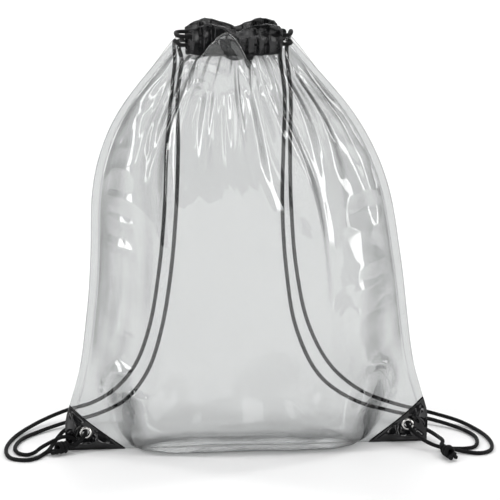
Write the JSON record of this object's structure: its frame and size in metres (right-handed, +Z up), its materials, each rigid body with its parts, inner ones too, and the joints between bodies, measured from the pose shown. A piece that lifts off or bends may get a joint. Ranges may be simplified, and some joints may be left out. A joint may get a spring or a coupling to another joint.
{
  "type": "drawstring shoe bag",
  "caption": "Clear PVC drawstring shoe bag, drawn closed and filled out, with black hem casings, corner patches, metal eyelets and two black cords.",
  "frame": {"origin": "on the floor, at the middle of the bottom seam between the two flat halves of the base", "axes": "+Z up, +X to the right along the bottom seam, -Y out of the front panel"},
  "size_m": [0.4967, 0.1711, 0.4341],
  "materials": {
    "clear_film": "gloss",
    "black_hem": "satin",
    "black_pvc": "gloss",
    "nickel": "polished",
    "black_cord": "matt"
  },
  "bodies": {
    "bag": {"back_panel": "clear_film", "front_panel": "clear_film", "left_back_corner_patch": "black_pvc", "left_cord_back_strand": "black_cord", "left_cord_front_strand": "black_cord", "left_cord_knot": "black_cord", "left_cord_turn": "black_cord", "left_eyelet": "nickel", "left_eyelet_washer": "nickel", "left_front_corner_patch": "black_pvc", "right_back_corner_patch": "black_pvc", "right_cord_back_strand": "black_cord", "right_cord_front_strand": "black_cord", "right_cord_knot": "black_cord", "right_cord_turn": "black_cord", "right_eyelet": "nickel", "right_eyelet_washer": "nickel", "right_front_corner_patch": "black_pvc"},
    "mouth_front": {"front_casing": "black_hem", "left_cord_front_run": "black_cord", "right_cord_front_run": "black_cord"},
    "mouth_back": {"back_casing": "black_hem", "left_cord_back_run": "black_cord", "right_cord_back_run": "black_cord"}
  },
  "joints": [
    {"name": "mouth_front_fold", "type": "hinge", "parent": "bag", "child": "mouth_front", "pos_m": [-0.014, -0.0125, 0.3985], "axis": [1, 0, 0], "range_deg": [0, 30]},
    {"name": "mouth_back_fold", "type": "hinge", "parent": "bag", "child": "mouth_back", "pos_m": [-0.014, 0.0125, 0.3985], "axis": [-1, 0, 0], "range_deg": [0, 30]}
  ]
}
